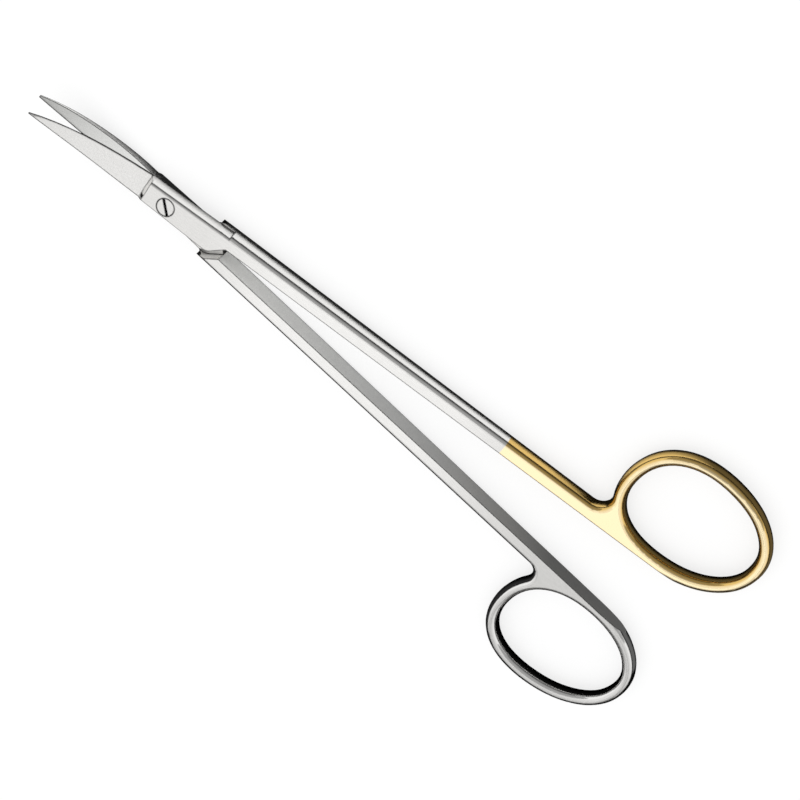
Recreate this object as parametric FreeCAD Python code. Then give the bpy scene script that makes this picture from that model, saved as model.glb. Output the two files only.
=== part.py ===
import FreeCAD, Part
import math
import os
from FreeCAD import Matrix, Vector

os.makedirs("parts", exist_ok=True)

# Surgical scissors with curved blades, in millimetres. The pivot axis is Z, the finger rings lie
# towards +X and the joint rests on z = 0. Each half is drawn closed about the X axis, with its
# middle plane at z = 0, and is then turned open and lifted into place.

# Whole instrument
joint_height = 4.8
half_opening = 3.76
halves_gap = 0.04

# Shank
shank_inner = 0.41
shank_width = 3.20
shank_narrowing = 0.0017
shank_taper = 0.0107
side_round = 1.33
crest_angle = 84.0
taper_start = 9.0

# Finger ring
ring_x = 113.74
ring_seat = 0.68
ring_half_length = 14.64
ring_half_width = 11.34
ring_fullness = 2.17
ring_egg = 0.087
ring_lean = -4.26
ring_band = 2.66
tail_swell = 0.28
notch_radius = 2.5
tail_turn = -72.0

# Joint plate
heel_x = -4.62
heel_inner = 2.05
heel_outer = 2.81
plate_end_x = 13.2
plate_inner = 2.56
plate_outer = 3.19
plate_corner_x = 10.75
plate_run_out_x = 13.8
plate_round = 0.90
plate_edge_round = 0.25
tail_corner_radius = 2.0
tail_foot_radius = 0.8
shoulder_gap = 0.5
ramp_x = 9.5
ramp_length = 1.9
ramp_rise = 0.9
ramp_lean = 45.0

# Blade. Each station gives its share of the blade's length, how far off the centre line lie the
# spine of the pointed front blade, that of the blunt back blade and the cutting edge, and the
# thickness along the spine.
blade_reach = 30.3
blade_bend_start = 8.0
blade_bend_radius = 61.3
heel_slope = 0.83
edge_thickness = 0.10
blade_stations = [
    (0.00, 1.95, 1.95, 2.70, 1.90),
    (0.28, 2.00, 2.00, 2.05, 1.50),
    (0.61, 1.50, 1.65, 1.36, 1.00),
    (0.83, 0.85, 1.13, 0.76, 0.65),
    (1.00, 0.12, 0.40, 0.05, 0.30),
]

# Pivot screw
screw_head_radius = 1.80
screw_head_depth = 1.0
screw_edge = 0.08
screw_shaft_radius = 1.20
screw_thread_radius = 0.95
running_clearance = 0.03
slot_width = 0.40
slot_depth = 0.55
slot_turn = -46.0

joint_half = joint_height / 2
gap_half = halves_gap / 2
ring_y = shank_inner + ring_seat + ring_half_width
pocket_side = plate_inner + shoulder_gap

# How far the cutting tools and overlaps run past what they shape
past_ring = ring_x + 2 * ring_half_length
past_side = 3 * plate_outer
past_tip = 2.0
plate_overlap = 1.5

# Fineness of the free curves
ring_spans = 16
tangent_step = math.radians(1.5)
crest_shares = [0, 0.32, 0.61, 0.85, 1]
side_degree = 3


def half_height(x):
    """Half thickness of the shank and ring at a station along the instrument."""
    return joint_half - shank_taper / 2 * (x - taper_start)


def ring_centre_line(turn):
    """Point on the middle line of the finger ring, an egg-shaped superellipse."""
    c, s = math.cos(turn), math.sin(turn)
    along = ring_half_length * math.copysign(abs(c) ** (2 / ring_fullness), c)
    across = ring_half_width * math.copysign(abs(s) ** (2 / ring_fullness), s) * (1 - ring_egg * c)
    lean = math.radians(ring_lean)
    return Vector(
        ring_x + along * math.cos(lean) - across * math.sin(lean),
        ring_y + along * math.sin(lean) + across * math.cos(lean),
        0,
    )


def ring_point(turn, outward):
    """Point beside the ring's middle line, and the outward direction there."""
    chord = ring_centre_line(turn + tangent_step) - ring_centre_line(turn - tangent_step)
    normal = Vector(chord.y, -chord.x, 0).normalize()
    return ring_centre_line(turn) + normal * outward, normal


def outer_offset(turn):
    """How far the ring's outer side lies from its middle line, fuller where the tail runs in."""
    return ring_band / 2 + tail_swell * max(0, math.cos(turn - math.radians(tail_turn))) ** 4


def solve(function, low, high):
    """Root of a function that changes sign between two values."""
    for _ in range(60):
        middle = (low + high) / 2
        if (function(low) > 0) == (function(middle) > 0):
            low = middle
        else:
            high = middle
    return (low + high) / 2


def shank_side(x):
    """Outer side of the shank at its middle plane."""
    return shank_inner + shank_width - shank_narrowing * (x - taper_start)


side_normal = Vector(shank_narrowing, 1, 0).normalize()
side_start = Vector(taper_start, shank_side(taper_start), 0)
plate_stop_x = plate_run_out_x + plate_overlap
side_join = Vector(plate_stop_x, shank_side(plate_stop_x), 0)


def notch_miss(turn):
    """How far a circle outside the ring stays from touching the shank's side."""
    centre = ring_point(turn, outer_offset(turn) + notch_radius)[0]
    return (centre - side_start).dot(side_normal) - notch_radius


notch_turn = solve(notch_miss, math.radians(150), math.radians(250))
notch_centre = ring_point(notch_turn, outer_offset(notch_turn) + notch_radius)[0]
blank_inner = shank_inner - side_round - 0.1
tail_start = math.radians(tail_turn)
tail_point, tail_normal = ring_point(tail_start, outer_offset(tail_start))
tail_radius = (tail_point.y - blank_inner) / (1 + tail_normal.y)
tail_centre = tail_point - tail_normal * tail_radius


def spread(first, last):
    """Evenly spaced turns round the ring, and how far along its middle line each one is."""
    turns = [first + (last - first) * i / ring_spans for i in range(ring_spans + 1)]
    lengths = [0.0]
    for before, after in zip(turns, turns[1:]):
        lengths.append(lengths[-1] + (ring_centre_line(after) - ring_centre_line(before)).Length)
    return turns, lengths


def ring_side(first, last, inset):
    """Smooth curve along the ring's outer side between two turns, drawn in by an inset."""
    turns, lengths = spread(first, last)
    points = [ring_point(turn, outer_offset(turn) - inset)[0] for turn in turns]
    tangents = []
    for end, beside in ((0, 1), (-1, -2)):
        normal = ring_point(turns[end], 0)[1]
        speed = (points[end] - points[beside]).Length / abs(lengths[end] - lengths[beside])
        tangents.append(Vector(normal.y, -normal.x, 0) * speed)
    curve = Part.BSplineCurve()
    curve.interpolate(
        Points=points,
        Parameters=lengths,
        InitialTangent=tangents[0],
        FinalTangent=tangents[1],
        Scale=False,
    )
    return curve.toShape()


def arc(centre, radius, first, last):
    """Arc about a centre from one direction to another, by way of their middle."""
    middle = (first + last).normalize()
    return Part.Arc(centre + first * radius, centre + middle * radius, centre + last * radius).toShape()


def handle_outline(inset):
    """Outline of the shank and ring, drawn in from the widest one by an inset."""
    ring_direction = -ring_point(notch_turn, 0)[1]
    side_points = [
        side_start - side_normal * inset,
        side_join - side_normal * inset,
        notch_centre - side_normal * (notch_radius + inset),
    ]
    joint_edge, side_edge = [Part.LineSegment(*side_points[i : i + 2]).toShape() for i in (0, 1)]
    notch = arc(notch_centre, notch_radius + inset, -side_normal, ring_direction)
    ring = ring_side(notch_turn, tail_start, inset)
    down = Vector(0, -1, 0)
    tail = arc(tail_centre, tail_radius - inset, tail_normal, down)
    inner_end = tail_centre + down * (tail_radius - inset)
    inner_start = Vector(taper_start, inner_end.y, 0)
    inner_edge = Part.LineSegment(inner_end, inner_start).toShape()
    start_edge = Part.LineSegment(inner_start, side_points[0]).toShape()
    return Part.Wire([joint_edge, side_edge, notch, ring, tail, inner_edge, start_edge])


def hole_outline(inset):
    """Finger hole, which widens as the inset grows."""
    turns, lengths = spread(0, -2 * math.pi)
    points = [ring_point(turn, inset - ring_band / 2)[0] for turn in turns[:-1]]
    curve = Part.BSplineCurve()
    curve.interpolate(Points=points, Parameters=lengths, PeriodicFlag=True)
    return Part.Wire([curve.toShape()])


def lift(wire, share):
    """Lay a flat outline on the sloping plane at a share of the half thickness."""
    slope = -shank_taper / 2
    at_origin = half_height(0)
    place = Matrix(1, 0, 0, 0, 0, 1, 0, 0, share * slope, 0, 1, share * at_origin, 0, 0, 0, 1)
    return wire.transformGeometry(place)


def side_faces(wires):
    """Faces that run smoothly through the outlines from the lowest to the highest."""
    return Part.makeLoft(wires, False, False, False, side_degree).Faces


def ruled(face):
    """The same straight face, ruled from one of its upright seams to the other."""
    seams = [edge for edge in face.Edges if edge.BoundBox.ZLength > joint_half]
    return Part.makeRuledSurface(*seams)


def rounded_solid():
    """Shank, web and ring with the half-oval sides that forging and polishing leave."""
    crest = math.sin(math.radians(crest_angle))
    shares = [-share for share in reversed(crest_shares[1:])] + crest_shares
    angles = [crest_angle * share for share in shares]
    outer, inner = [], []
    for angle in angles:
        share = math.sin(math.radians(angle)) / crest
        inset = side_round * (1 - math.cos(math.radians(angle)))
        outer.append(lift(handle_outline(inset), share))
        inner.append(lift(hole_outline(inset), share))
    handle = side_faces(outer)
    faces = [ruled(face) for face in handle[:2]] + handle[2:] + side_faces(inner)
    for end in (0, -1):
        faces.append(Part.Face([outer[end], inner[end]], "Part::FaceMakerBullseye"))
    shell = Part.makeShell(faces)
    shell.sewShape()
    solid = Part.Solid(shell)
    if solid.Volume < 0:
        solid.reverse()
    return solid


def prism(points, bottom, top):
    """Upright solid on a flat outline given by its corners."""
    corners = [Vector(x, y, bottom) for x, y in points]
    return Part.Face(Part.makePolygon(corners + corners[:1])).extrude(Vector(0, 0, top - bottom))


def rounded_prism(points, radii, bottom, top):
    """Upright solid on a flat outline, with an arc of a given radius at some corners."""
    corners = [Vector(x, y, bottom) for x, y in points]
    count = len(corners)
    starts, ends, edges = [], [], []
    for i, corner in enumerate(corners):
        back = (corners[i - 1] - corner).normalize()
        ahead = (corners[(i + 1) % count] - corner).normalize()
        cut = radii.get(i, 0) / math.tan(back.getAngle(ahead) / 2)
        starts.append(corner + back * cut)
        ends.append(corner + ahead * cut)
    for i, corner in enumerate(corners):
        radius = radii.get(i, 0)
        if radius:
            half_angle = (starts[i] - corner).getAngle(ends[i] - corner) / 2
            inward = ((starts[i] + ends[i]) * 0.5 - corner).normalize()
            middle = corner + inward * (radius / math.sin(half_angle) - radius)
            edges.append(Part.Arc(starts[i], middle, ends[i]).toShape())
        edges.append(Part.LineSegment(ends[i], starts[(i + 1) % count]).toShape())
    return Part.Face(Part.Wire(edges)).extrude(Vector(0, 0, top - bottom))


def section(corners):
    """Closed outline through the corners of a cross-section."""
    return Part.makePolygon(corners + corners[:1])


def plate_side(x):
    """Outer side of the joint plate at its mating face."""
    return heel_outer + (plate_outer - heel_outer) * (x - heel_x) / (plate_end_x - heel_x)


def plate_section(x, inner):
    """Section of the joint plate across the instrument, with a half-oval outer side."""
    top = half_height(max(x, taper_start))
    centre = Vector(x, plate_side(x) - plate_round, gap_half)
    high, low = Vector(x, centre.y, top), centre + Vector(0, plate_round, 0)
    inner_low, inner_high = Vector(x, inner, gap_half), Vector(x, inner, top)
    edges = [
        Part.LineSegment(inner_low, inner_high).toShape(),
        Part.LineSegment(inner_high, high).toShape(),
        Part.Ellipse(high, low, centre).toShape(0, math.pi / 2),
        Part.LineSegment(low, inner_low).toShape(),
    ]
    return Part.Wire(edges)


def joint_plate():
    """Plate of one half at the joint, with the curved end that runs into the shank."""
    outline = [
        (heel_x, -heel_inner),
        (plate_corner_x, -plate_inner),
        (plate_run_out_x, shank_inner),
        (plate_stop_x, shank_inner),
        (plate_stop_x, past_side),
        (heel_x, past_side),
    ]
    radii = {1: tail_corner_radius, 2: tail_foot_radius}
    plan = rounded_prism(outline, radii, 0, joint_height)
    stations = (heel_x, taper_start, plate_stop_x)
    bar = Part.makeLoft([plate_section(x, -past_side) for x in stations], True, True)
    return bar.common(plan)


def mate_pocket():
    """Room for the other half's joint plate, beyond its curved end by the shoulder gap."""
    corner = Vector(plate_corner_x, plate_inner, 0)
    along = (Vector(plate_run_out_x, -shank_inner, 0) - corner).normalize()
    outward = Vector(-along.y, along.x, 0)
    turn = corner + outward * shoulder_gap
    turn = turn + along * ((pocket_side - turn.y) / along.y)
    foot = turn + along * ((-pocket_side - turn.y) / along.y)
    outline = [(-blade_reach, turn.y), (turn.x, turn.y), (foot.x, foot.y), (-blade_reach, foot.y)]
    return rounded_prism(outline, {1: tail_corner_radius + shoulder_gap}, -joint_height, gap_half)


def ramp_space():
    """Room in front of the ramp, which leans back towards the outer face."""
    ramp_end = ramp_x + ramp_length
    slope = [
        (0, pocket_side),
        (ramp_x, pocket_side),
        (ramp_end, pocket_side + ramp_rise),
        (ramp_end, past_side),
        (0, past_side),
    ]
    outline = section([Vector(x, y, gap_half) for x, y in slope])
    lean = Vector(math.tan(math.radians(ramp_lean)), 0, -1)
    return Part.Face(outline).extrude(lean * joint_height)


def shank_and_ring():
    """Handle of one half, ground flat on its inner side and cut to seat on the joint plate."""
    handle = rounded_solid()
    flat = [(0, -past_side), (past_ring, -past_side), (past_ring, shank_inner), (0, shank_inner)]
    inside = prism(flat, -joint_height, joint_height)
    joint = [(0, -past_side), (plate_end_x, -past_side), (plate_end_x, past_side), (0, past_side)]
    above = prism(joint, gap_half, joint_height)
    return handle.cut(inside).cut(above).cut(ramp_space())


heel_end = heel_slope - heel_x


def sheet_height(x, y):
    """Height of the curved surface on which the two blades meet, a bowl about the pivot."""
    out = max(math.hypot(x, y) - blade_bend_start, 0)
    return blade_bend_radius - math.sqrt(blade_bend_radius**2 - out**2)


def sheet_space(side):
    """Solid that fills the space on the far side of a half's mating surface."""
    wall = blade_reach + past_tip
    clear = side * gap_half
    middle = (blade_bend_start + wall) / 2
    rim = [Vector(x, 0, sheet_height(x, 0) + clear) for x in (blade_bend_start, middle, wall)]
    bed = -side * blade_reach
    edges = [
        Part.LineSegment(Vector(0, 0, clear), rim[0]).toShape(),
        Part.Arc(*rim).toShape(),
        Part.LineSegment(rim[2], Vector(wall, 0, bed)).toShape(),
        Part.LineSegment(Vector(wall, 0, bed), Vector(0, 0, bed)).toShape(),
        Part.LineSegment(Vector(0, 0, bed), Vector(0, 0, clear)).toShape(),
    ]
    return Part.Face(Part.Wire(edges)).revolve(Vector(0, 0, 0), Vector(0, 0, 1), 360)


def blade(side):
    """Curved wedge from the heel to the tip, thick along the spine and thin at the cutting edge."""
    wires = []
    for share, front_spine, back_spine, edge, thickness in blade_stations:
        spine = front_spine if side > 0 else back_spine
        x = -heel_end - share * (blade_reach - heel_end)
        spine_z = sheet_height(x, spine)
        edge_z = sheet_height(x, edge)
        corners = [
            Vector(x, -side * spine, spine_z - side),
            Vector(x, -side * spine, spine_z + side * thickness),
            Vector(x, side * edge, edge_z + side * edge_thickness),
            Vector(x, side * edge, edge_z - side),
        ]
        wires.append(section(corners))
    return Part.makeLoft(wires, True, False).cut(sheet_space(side))


def heel():
    """Sloping step from the thick joint plate down to the outer face of the blade."""
    spine, _, edge, thickness = blade_stations[0][1:]
    x = -heel_end
    corners = [
        Vector(x, -spine, gap_half),
        Vector(x, -spine, thickness),
        Vector(x, edge, edge_thickness),
        Vector(x, edge, gap_half),
    ]
    return Part.makeLoft([plate_section(heel_x, -heel_inner), section(corners)], True, True)


def round_bar(radius, low, high):
    """Cylinder on the pivot axis between two heights."""
    return Part.makeCylinder(radius, high - low, Vector(0, 0, low))


def rounded_plate():
    """Joint plate and heel with the long top edge rounded along the inner side."""
    plate = joint_plate().fuse(heel()).removeSplitter()
    rim = []
    for edge in plate.Edges:
        box = edge.BoundBox
        middle = edge.valueAt(edge.getParameterByLength(edge.Length / 2))
        if box.ZMin > joint_half / 2 and box.XLength > box.ZLength and middle.y < -shank_inner:
            if heel_x < middle.x < plate_run_out_x:
                rim.append(edge)
    return plate.makeFillet(plate_edge_round, rim)


def half_without_blade():
    """Handle, joint plate and heel of one half as a single forging."""
    body = rounded_plate().fuse(shank_and_ring())
    return body.cut(mate_pocket()).removeSplitter()


def placed(solid, side):
    """Turn a half open by its share and lift it so that the joint rests on z = 0."""
    out = solid.copy()
    out.rotate(Vector(0, 0, 0), Vector(0, 0, 1), side * half_opening)
    out.translate(Vector(0, 0, joint_half))
    return out


def front_half(base):
    """Half nearer to the eye, bored for the head and the shaft of the screw."""
    seat = joint_half - screw_head_depth - running_clearance
    head = round_bar(screw_head_radius + running_clearance, seat, joint_height)
    shaft = round_bar(screw_shaft_radius + running_clearance, -joint_height, joint_height)
    return placed(base.fuse(blade(1)).cut(head).cut(shaft), 1)


def back_half(base):
    """Half behind, the same forging turned over, with the threaded hole."""
    turned = base.copy()
    turned.rotate(Vector(0, 0, 0), Vector(1, 0, 0), 180)
    thread = round_bar(screw_thread_radius, -joint_height, joint_height)
    return placed(turned.fuse(blade(-1)).cut(thread), -1)


def pivot_screw():
    """Slotted screw, flush in the front half and fixed in the back half."""
    head = round_bar(screw_head_radius, joint_half - screw_head_depth, joint_half)
    rim = [edge for edge in head.Edges if edge.BoundBox.ZMin > joint_half - slot_depth]
    head = head.makeChamfer(screw_edge, rim)
    shaft = round_bar(screw_shaft_radius, -gap_half, joint_half)
    thread = round_bar(screw_thread_radius, -joint_half, 0)
    slot = Part.makeBox(2 * past_side, slot_width, 2 * slot_depth)
    slot.translate(Vector(-past_side, -slot_width / 2, joint_half - slot_depth))
    slot.rotate(Vector(0, 0, 0), Vector(0, 0, 1), slot_turn)
    screw = head.fuse([shaft, thread]).removeSplitter().cut(slot)
    screw.translate(Vector(0, 0, joint_half))
    return screw


half = half_without_blade()
nodes = {"front_half": front_half(half), "back_half": back_half(half), "pivot_screw": pivot_screw()}
for name, shape in nodes.items():
    box = shape.BoundBox
    print(name, shape.isValid(), len(shape.Solids), round(shape.Volume, 2), len(shape.Faces), box)
    shape.Solids[0].exportStep("parts/" + name + ".step")
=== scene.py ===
import bmesh
import bpy
from math import radians
from mathutils import Matrix, Vector

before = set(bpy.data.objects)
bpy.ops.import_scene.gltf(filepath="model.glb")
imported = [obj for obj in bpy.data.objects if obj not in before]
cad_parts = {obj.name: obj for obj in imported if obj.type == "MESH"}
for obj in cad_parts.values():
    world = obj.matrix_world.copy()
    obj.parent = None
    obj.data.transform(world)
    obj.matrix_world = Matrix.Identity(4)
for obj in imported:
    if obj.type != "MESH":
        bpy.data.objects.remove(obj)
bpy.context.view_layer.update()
mm = 0.001
halfOpening = 3.76  # degrees from the middle to each half at rest

# Camera: 82 mm lens above the open handles, looking down at the joint
viewPoint = {
    "spot": (32.094 * mm, 184.476 * mm, 294.483 * mm),
    "azimuth": 187.58,
    "tilt": 32.62,
    "roll": 213.55,
    "lens": 82.37,
    "sensor": 36.0,
    "nearest": 0.01,
}


def addCamera(settings):
    data = bpy.data.cameras.new("studioCamera")
    data.lens = settings["lens"]
    data.sensor_width = settings["sensor"]
    data.sensor_fit = "HORIZONTAL"
    data.clip_start = settings["nearest"]
    camera = bpy.data.objects.new("studioCamera", data)
    bpy.context.scene.collection.objects.link(camera)
    turn = Matrix.Rotation(radians(settings["azimuth"]), 4, "Z")
    turn = turn @ Matrix.Rotation(radians(settings["tilt"]), 4, "X")
    turn = turn @ Matrix.Rotation(radians(settings["roll"]), 4, "Z")
    camera.matrix_world = Matrix.Translation(settings["spot"]) @ turn
    bpy.context.scene.camera = camera


addCamera(viewPoint)
print("camera placed")


# Surgical stainless steel, satined with fine grit on its flats: soft reflections, faint lengthwise marks
satinSteel = {
    "colour": "#d8d7d5",
    "roughness": 0.26,
    "roughnessSpread": 0.06,
    "markSpacing": 0.26 * mm,  # real grit is finer, this is as fine as shows
    "markLength": 1.3 * mm,
    "markTone": 0.08,
    "markDepth": 0.10,
    "markHeight": 0.02 * mm,
}

# The same steel polished on its rounded sides after forging, so it mirrors its surroundings
polishedSteel = {"colour": "#ecebe9", "roughness": 0.09, "flatFrom": (0.80, 0.93)}

# The shanks' flats are polished finer away from the joint, and on the plain ring they are painted greyer as
# painted shade
shankFlat = {
    "colour": "#e6e5e3",
    "roughness": 0.22,
    "fine": (9.0 * mm, 26.0 * mm),
    "ringShadedColour": "#cdccca",
    "ring": (66.0 * mm, 96.0 * mm),
}

# The blades' flats are fine ground and left grainy, paler at the heel than at the tip
bladeFlat = {
    "front": ("#f1f0ee", "#e8e7e5"),
    "back": ("#dededc", "#bebebc"),
    "start": (-5.0 * mm, -4.7 * mm),
    "tip": (-29.0 * mm, -8.0 * mm),
    "grainTone": 0.16,
}

# The same steel left bead blasted on the ground inner flats: granular, so dull that it scatters light. Toward
# the rings it is painted darker as painted shade
blastedSteel = {
    "colour": "#f2f2f0",
    "farShadedColour": "#6c6c6b",
    "blastShadeSpan": (22.0 * mm, 100.0 * mm),
    "roughness": 0.50,
    "metallic": 0.12,
    "grainSize": 0.22 * mm,  # coarser than the real bead marks, so that they show
    "grainTone": 0.20,
    "facing": (0.90, 0.95),
    "plane": (-0.46 * mm, -0.43 * mm),
    "shankStart": (13.3 * mm, 13.35 * mm),
}

# Gold plating a few microns thick on polished steel, mirror bright. The rounds keep the deeper gold, and the
# upward flats are painted paler as a painted highlight
goldPlate = {
    "colour": "#fbe8bd",
    "roundColour": "#e5bf72",
    "roughness": 0.08,
    "start": (77.2 * mm, 77.4 * mm),
}

# Painted shade in the screw's slot: below its polished head the slot is painted near black
slotPaintedShade = {"colour": "#0c0c0c", "roughness": 0.6, "sunk": (4.67 * mm, 4.72 * mm)}

# Sharp edges are broken by hand with a fine stone; the bevel rounds their facing, and a thin dark line painted
# along them is painted shade
edgeBreakAndPaintedLine = {"radius": 0.35 * mm, "turned": (0.93, 0.995), "tone": 0.05, "samples": 6}

# Painted shade: the metal is painted darker in the narrow corners
cornerPaintedShade = {"reach": 1.4 * mm, "open": (0.30, 0.80), "tone": 0.22, "samples": 6}

# Most of a noise pattern's values lie between these two
noiseSpan = (0.25, 0.75)


def linear(hexColour):
    values = [int(hexColour[i:i + 2], 16) / 255 for i in (1, 3, 5)]
    return [v / 12.92 if v <= 0.04045 else ((v + 0.055) / 1.055) ** 2.4 for v in values] + [1.0]


def addNode(tree, kind, settings=None, links=None):
    node = tree.nodes.new(kind)
    for name, value in (settings or {}).items():
        if isinstance(name, int) or name in node.inputs:
            node.inputs[name].default_value = value
        else:
            setattr(node, name, value)
    for name, source in (links or {}).items():
        tree.links.new(source, node.inputs[name])
    return node


def feed(tree, socket, value):
    # a colour or a number is set on the socket itself, and a node's output is linked to it
    if isinstance(value, str):
        socket.default_value = linear(value)
    elif isinstance(value, float):
        socket.default_value = value
    else:
        tree.links.new(value, socket)


def newMaterial(name):
    material = bpy.data.materials.new(name)
    material.use_nodes = True
    material.node_tree.nodes.clear()
    return material, material.node_tree


def calculate(tree, operation, *terms):
    node = addNode(tree, "ShaderNodeMath", {"operation": operation})
    for socket, term in zip(node.inputs, terms):
        feed(tree, socket, term)
    return node.outputs[0]


def span(tree, value, start, end, low=0.0, high=1.0):
    settings = {"From Min": start, "From Max": end, "To Min": low, "To Max": high}
    return addNode(tree, "ShaderNodeMapRange", settings, {"Value": value}).outputs["Result"]


def blend(tree, kind, sockets, share, ends):
    node = addNode(tree, "ShaderNodeMix", {"data_type": kind}, {0: share})
    for socket, value in zip(sockets, ends):
        feed(tree, node.inputs[socket], value)
    return node


def blendColour(tree, share, first, second):
    return blend(tree, "RGBA", (6, 7), share, (first, second)).outputs[2]


def blendNumber(tree, share, first, second):
    return blend(tree, "FLOAT", (2, 3), share, (first, second)).outputs[0]


def scaled(tree, colour, factor):
    links = {0: colour, "Scale": factor}
    return addNode(tree, "ShaderNodeVectorMath", {"operation": "SCALE"}, links).outputs[0]


def toned(tree, colour, pattern, depth):
    # the pattern lightens and darkens the colour by its depth
    return scaled(tree, colour, span(tree, pattern, *noiseSpan, 1.0 - depth, 1.0))


def objectPlace(tree):
    return addNode(tree, "ShaderNodeTexCoord").outputs["Object"]


def alongAxes(tree, vector):
    return addNode(tree, "ShaderNodeSeparateXYZ", links={"Vector": vector}).outputs


def inHalf(tree, turn):
    # place and facing in a half's own frame, with X along its shank
    coordinates = addNode(tree, "ShaderNodeTexCoord")
    settings = {"vector_type": "TEXTURE", "Rotation": (0, 0, radians(turn))}
    for source in ("Object", "Normal"):
        turned = addNode(tree, "ShaderNodeMapping", settings, {"Vector": coordinates.outputs[source]})
        yield alongAxes(tree, turned.outputs["Vector"])


def grindingMarks(tree, turn):
    # noise drawn out along the piece
    spacing = satinSteel["markSpacing"]
    settings = {"vector_type": "TEXTURE", "Rotation": (0, 0, radians(turn)),
                "Scale": (satinSteel["markLength"], spacing, spacing)}
    turned = addNode(tree, "ShaderNodeMapping", settings, {"Vector": objectPlace(tree)})
    return addNode(tree, "ShaderNodeTexNoise", {"Scale": 1.0, "Detail": 3.0, "Roughness": 0.6},
                   {"Vector": turned.outputs["Vector"]}).outputs["Fac"]


def beadMarks(tree):
    settings = {"Scale": 1.0 / blastedSteel["grainSize"], "Detail": 2.0}
    return addNode(tree, "ShaderNodeTexNoise", settings, {"Vector": objectPlace(tree)}).outputs["Fac"]


def flatColour(tree, along, marks, beads, bladeTones):
    # the upward flats, from the blade's tip to the ring
    heelTone, tipTone = bladeTones
    shank = blendColour(tree, span(tree, along, *shankFlat["fine"]), satinSteel["colour"], shankFlat["colour"])
    # painted shade: the flats on the plain ring are painted greyer
    shank = blendColour(tree, span(tree, along, *shankFlat["ring"]), shank, shankFlat["ringShadedColour"])
    shank = toned(tree, shank, marks, satinSteel["markTone"])
    blade = blendColour(tree, span(tree, along, *bladeFlat["tip"]), tipTone, heelTone)
    blade = toned(tree, blade, beads, bladeFlat["grainTone"])
    return blendColour(tree, span(tree, along, *bladeFlat["start"]), blade, shank)


def flatRoughness(tree, along, marks):
    middle, spread = satinSteel["roughness"], satinSteel["roughnessSpread"]
    satin = span(tree, marks, 0.0, 1.0, middle - spread, middle + spread)
    return blendNumber(tree, span(tree, along, *shankFlat["fine"]), satin, shankFlat["roughness"])


def innerShare(tree, place, facing, inward):
    # the flat that faces the other half, behind the joint
    side = calculate(tree, "MULTIPLY", facing["Y"], float(inward))
    across = calculate(tree, "MULTIPLY", place["Y"], float(inward))
    flush = calculate(tree, "MULTIPLY", span(tree, side, *blastedSteel["facing"]),
                      span(tree, across, *blastedSteel["plane"]))
    return calculate(tree, "MULTIPLY", flush, span(tree, place["X"], *blastedSteel["shankStart"]))


def blastedColour(tree, along, beads):
    # painted shade: the inner flat darkens along the shank toward the rings
    blastShadeShare = span(tree, along, *blastedSteel["blastShadeSpan"])
    colour = blendColour(tree, blastShadeShare, blastedSteel["colour"], blastedSteel["farShadedColour"])
    return toned(tree, colour, beads, blastedSteel["grainTone"])


def edgeNormalAndPaintedShade(tree):
    # the rounded facing near an edge, and how much the painted shade darkens the metal: a dark line along edges
    # and darkening in narrow corners
    settings = {"Distance": cornerPaintedShade["reach"], "samples": cornerPaintedShade["samples"]}
    corners = addNode(tree, "ShaderNodeAmbientOcclusion", settings).outputs["AO"]
    settings = {"Radius": edgeBreakAndPaintedLine["radius"], "samples": edgeBreakAndPaintedLine["samples"]}
    rounded = addNode(tree, "ShaderNodeBevel", settings).outputs["Normal"]
    upright = addNode(tree, "ShaderNodeNewGeometry").outputs["Normal"]
    turned = addNode(tree, "ShaderNodeVectorMath", {"operation": "DOT_PRODUCT"}, {0: rounded, 1: upright})
    # painted shade: a thin dark line is painted where the bevel's facing turns from the true facing
    line = span(tree, turned.outputs["Value"], *edgeBreakAndPaintedLine["turned"], edgeBreakAndPaintedLine["tone"])
    paintedEdgeCornerShade = span(tree, corners, *cornerPaintedShade["open"], cornerPaintedShade["tone"])
    return rounded, calculate(tree, "MULTIPLY", paintedEdgeCornerShade, line)


def plated(tree, steel, along, flat, rounded, paintedEdgeCornerShade):
    # painted highlight: the upward flats take the paler colour, the rounds keep the deeper gold
    goldWithPaintedHighlight = blendColour(tree, flat, goldPlate["roundColour"], goldPlate["colour"])
    gold = addNode(tree, "ShaderNodeBsdfPrincipled", {"Metallic": 1.0, "Roughness": goldPlate["roughness"]},
                   {"Base Color": scaled(tree, goldWithPaintedHighlight, paintedEdgeCornerShade), "Normal": rounded}).outputs[0]
    share = span(tree, along, *goldPlate["start"])
    return addNode(tree, "ShaderNodeMixShader", links={0: share, 1: steel, 2: gold}).outputs[0]


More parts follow.
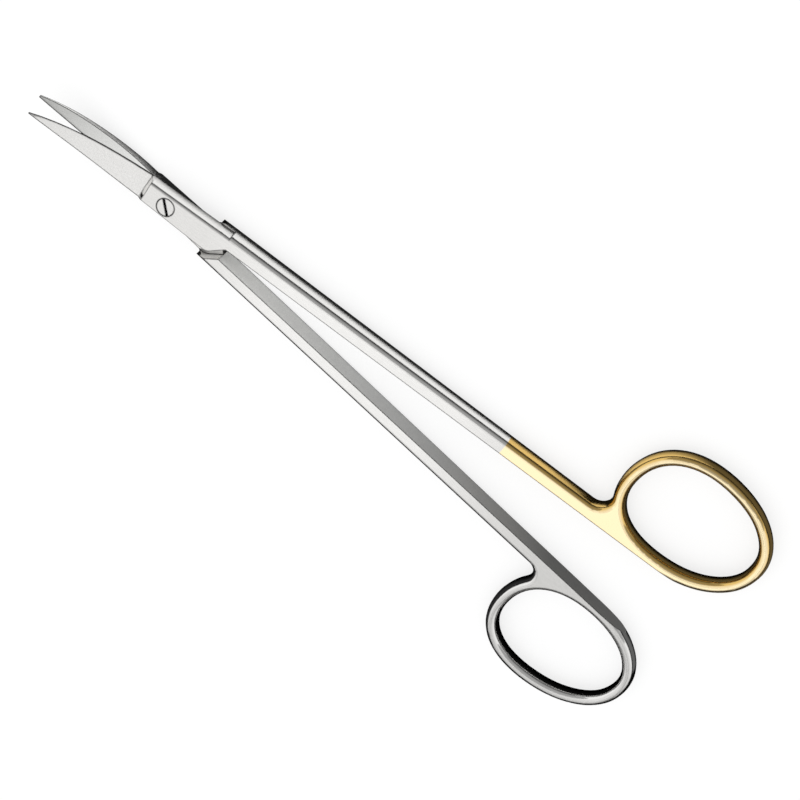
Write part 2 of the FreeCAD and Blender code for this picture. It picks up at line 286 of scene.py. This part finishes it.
def steelMaterial(name, turn, inward=0, gilded=False, slotted=False):
    material, tree = newMaterial(name)
    place, facing = inHalf(tree, turn)
    along = place["X"]
    marks, beads = grindingMarks(tree, turn), beadMarks(tree)
    flat = span(tree, calculate(tree, "ABSOLUTE", facing["Z"]), *polishedSteel["flatFrom"])
    bladeTones = bladeFlat["back"] if inward > 0 else bladeFlat["front"]
    upward = flatColour(tree, along, marks, beads, bladeTones)
    colour = blendColour(tree, flat, polishedSteel["colour"], upward)
    roughness = blendNumber(tree, flat, polishedSteel["roughness"], flatRoughness(tree, along, marks))
    metallic = 1.0
    if inward:
        inner = innerShare(tree, place, facing, inward)
        colour = blendColour(tree, inner, colour, blastedColour(tree, along, beads))
        roughness = blendNumber(tree, inner, roughness, blastedSteel["roughness"])
        metallic = blendNumber(tree, inner, 1.0, blastedSteel["metallic"])
    if slotted:
        # painted shade: the slot below the head is painted near black
        sunk = span(tree, place["Z"], *slotPaintedShade["sunk"], 1.0, 0.0)
        colour = blendColour(tree, sunk, colour, slotPaintedShade["colour"])
        roughness = blendNumber(tree, sunk, roughness, slotPaintedShade["roughness"])
    # the bevel's facing, and the painted shade of edges and corners
    rounded, paintedEdgeCornerShade = edgeNormalAndPaintedShade(tree)
    relief = addNode(tree, "ShaderNodeBump",
                     {"Strength": satinSteel["markDepth"], "Distance": satinSteel["markHeight"]},
                     {"Height": marks, "Normal": rounded}).outputs["Normal"]
    links = {"Base Color": scaled(tree, colour, paintedEdgeCornerShade), "Roughness": roughness, "Normal": relief}
    shader = addNode(tree, "ShaderNodeBsdfPrincipled", links=links)
    feed(tree, shader.inputs["Metallic"], metallic)
    surface = shader.outputs[0]
    if gilded:
        surface = plated(tree, surface, along, flat, rounded, paintedEdgeCornerShade)
    addNode(tree, "ShaderNodeOutputMaterial", links={"Surface": surface})
    return material


frontSteel = steelMaterial("satinSteelFront", halfOpening, inward=-1, gilded=True)
backSteel = steelMaterial("satinSteelBack", -halfOpening, inward=1)
screwSteel = steelMaterial("satinSteelScrew", halfOpening, slotted=True)
print("materials made")


# The CAD nodes are the finished shapes, so they only take their finish
finishes = {"front_half": frontSteel, "back_half": backSteel, "pivot_screw": screwSteel}


def dressNode(node, material):
    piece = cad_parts[node]
    for place in piece.material_slots:
        place.link = "OBJECT"
        place.material = material


for node, material in finishes.items():
    dressNode(node, material)
print("halves and screw dressed")


# Table: white paper that glows a little. As the metal mirrors it, a painted shadow darkens it close beside the
# metal's own foot, and painted dark patches lie by the rings and along the -Y side of the back shank.
table = {
    "colour": "#949494",
    "half": 1.2,
    "drop": 0.1 * mm,
    "glow": 0.74,
    "contactReach": 12.0 * mm,
    "contactOpen": (0.80, 0.88),
    "contactTone": 0.02,
    "contactSamples": 8,
    "ringMirrorShade": (86.0 * mm, 106.0 * mm),
    "ringMirrorShadeTone": 0.14,
    "sideMirrorShade": (-5.6 * mm, -4.0 * mm),
    "sideMirrorShadeTone": 0.03,
    "sideMirrorShadeLean": 0.0657,  # the painted dark patch follows the back half, turned by halfOpening
}

# Dark surround with a pale top, that only the metal mirrors
surround = {"tones": ("#060607", "#f4f4f4"), "climb": (0.14, 0.36), "radius": 1.0, "segments": 64}

# Each card leans from its low edge to its high one, and turns paler over its climb
cards = {
    "cameraCard": {"low": (0.0, 0.95, 0.0), "high": (0.0, 0.36, 0.92), "width": 2.0,
                   "tones": ("#060607", "#a8a8a8"), "climb": (0.02, 0.55)},
    "sideCard": {"low": (0.545, -0.839, 0.02), "high": (0.436, -0.671, 1.06), "width": 0.85,
                 "tones": ("#3c3c3c", "#e2e2e2"), "climb": (0.0, 0.80)},
}

air = {"strength": 0.95, "seenStrength": 1.0}

overheadBox = {"spot": (0.05, -0.35, 0.75), "aim": (0.05, 0.0, 0.0), "size": (0.8, 0.6), "power": 0.3}


def raysOf(tree, *kinds):
    # 1 for a ray of any of these kinds
    path = addNode(tree, "ShaderNodeLightPath")
    share = path.outputs[kinds[0]]
    for kind in kinds[1:]:
        share = calculate(tree, "MAXIMUM", share, path.outputs[kind])
    return share


def glowing(tree, strength, colour="#ffffff"):
    node = addNode(tree, "ShaderNodeEmission")
    feed(tree, node.inputs["Color"], colour)
    feed(tree, node.inputs["Strength"], strength)
    return node.outputs[0]


def addPiece(name, shape, material):
    mesh = bpy.data.meshes.new(name)
    shape.to_mesh(mesh)
    shape.free()
    mesh.materials.append(material)
    piece = bpy.data.objects.new(name, mesh)
    bpy.context.scene.collection.objects.link(piece)
    return piece


def seenTable(tree):
    paper = addNode(tree, "ShaderNodeBsdfDiffuse", {"Color": linear(table["colour"])}).outputs[0]
    direct = raysOf(tree, "Is Camera Ray", "Is Diffuse Ray")
    glow = glowing(tree, calculate(tree, "MULTIPLY", direct, table["glow"]))
    return addNode(tree, "ShaderNodeAddShader", links={0: paper, 1: glow}).outputs[0]


def mirroredTable(tree):
    settings = {"Distance": table["contactReach"], "samples": table["contactSamples"]}
    openness = addNode(tree, "ShaderNodeAmbientOcclusion", settings).outputs["AO"]
    # painted shadow: the mirrored table darkens close beside the metal
    clear = span(tree, openness, *table["contactOpen"], table["contactTone"])
    place = alongAxes(tree, objectPlace(tree))
    # painted reflection: dark patches in the mirrored table, by the rings and along the back shank
    byRings = span(tree, place["X"], *table["ringMirrorShade"], 1.0, table["ringMirrorShadeTone"])
    aside = calculate(tree, "MULTIPLY_ADD", place["X"], table["sideMirrorShadeLean"], place["Y"])
    bySide = span(tree, aside, *table["sideMirrorShade"], table["sideMirrorShadeTone"], 1.0)
    mirrorShadePatches = calculate(tree, "MULTIPLY", byRings, bySide)
    return glowing(tree, calculate(tree, "MULTIPLY", clear, mirrorShadePatches))


def addTable():
    shape = bmesh.new()
    bmesh.ops.create_grid(shape, x_segments=1, y_segments=1, size=table["half"])
    bmesh.ops.translate(shape, verts=shape.verts, vec=(0, 0, -table["drop"]))
    material, tree = newMaterial("mattePaper")
    links = {0: raysOf(tree, "Is Glossy Ray", "Is Transmission Ray"), 1: seenTable(tree), 2: mirroredTable(tree)}
    surface = addNode(tree, "ShaderNodeMixShader", links=links).outputs[0]
    addNode(tree, "ShaderNodeOutputMaterial", links={"Surface": surface})
    addPiece("whiteTable", shape, material)


def addReflected(name, shape, settings):
    # the metal mirrors it, but it neither shows nor shades the table
    material, tree = newMaterial(name + "Felt")
    start, end = settings["climb"]
    share = addNode(tree, "ShaderNodeMapRange",
                    {"From Min": start, "From Max": end, "interpolation_type": "SMOOTHSTEP"},
                    {"Value": alongAxes(tree, objectPlace(tree))["Z"]}).outputs["Result"]
    felt = glowing(tree, 1.0, blendColour(tree, share, *settings["tones"]))
    addNode(tree, "ShaderNodeOutputMaterial", links={"Surface": felt})
    panel = addPiece(name, shape, material)
    panel.visible_camera = False
    panel.visible_diffuse = False
    panel.visible_shadow = False


def addSurround():
    shape = bmesh.new()
    bmesh.ops.create_circle(shape, cap_ends=False, segments=surround["segments"], radius=surround["radius"])
    rim = bmesh.ops.extrude_edge_only(shape, edges=shape.edges)["geom"]
    upper = [part for part in rim if isinstance(part, bmesh.types.BMVert)]
    bmesh.ops.translate(shape, verts=upper, vec=(0, 0, surround["climb"][1]))
    addReflected("darkSurround", shape, surround)


def addCard(name, settings):
    low, high = Vector(settings["low"]), Vector(settings["high"])
    aside = Vector((-low.y, low.x, 0)).normalized() * settings["width"] / 2
    shape = bmesh.new()
    corners = (low - aside, low + aside, high + aside, high - aside)
    shape.faces.new([shape.verts.new(corner) for corner in corners])
    addReflected(name, shape, settings)


def addWorld():
    world = bpy.data.worlds.new("studioAir")
    bpy.context.scene.world = world
    world.use_nodes = True
    tree = world.node_tree
    tree.nodes.clear()
    seen = raysOf(tree, "Is Camera Ray", "Is Glossy Ray", "Is Transmission Ray")
    strength = blendNumber(tree, seen, air["strength"], air["seenStrength"])
    white = addNode(tree, "ShaderNodeBackground", {"Color": (1, 1, 1, 1)}, {"Strength": strength})
    addNode(tree, "ShaderNodeOutputWorld", links={"Surface": white.outputs[0]})


def addSoftBox(name, settings):
    data = bpy.data.lights.new(name, "AREA")
    data.shape = "RECTANGLE"
    data.size, data.size_y = settings["size"]
    data.energy = settings["power"]
    lamp = bpy.data.objects.new(name, data)
    bpy.context.scene.collection.objects.link(lamp)
    lamp.location = settings["spot"]
    aim = Vector(settings["aim"]) - Vector(settings["spot"])
    lamp.rotation_euler = aim.to_track_quat("-Z", "Y").to_euler()
    lamp.visible_camera = False


addTable()
addSurround()
for name, settings in cards.items():
    addCard(name, settings)
addWorld()
addSoftBox("overheadBox", overheadBox)
bpy.context.scene.view_settings.view_transform = "Standard"
print("studio lit")
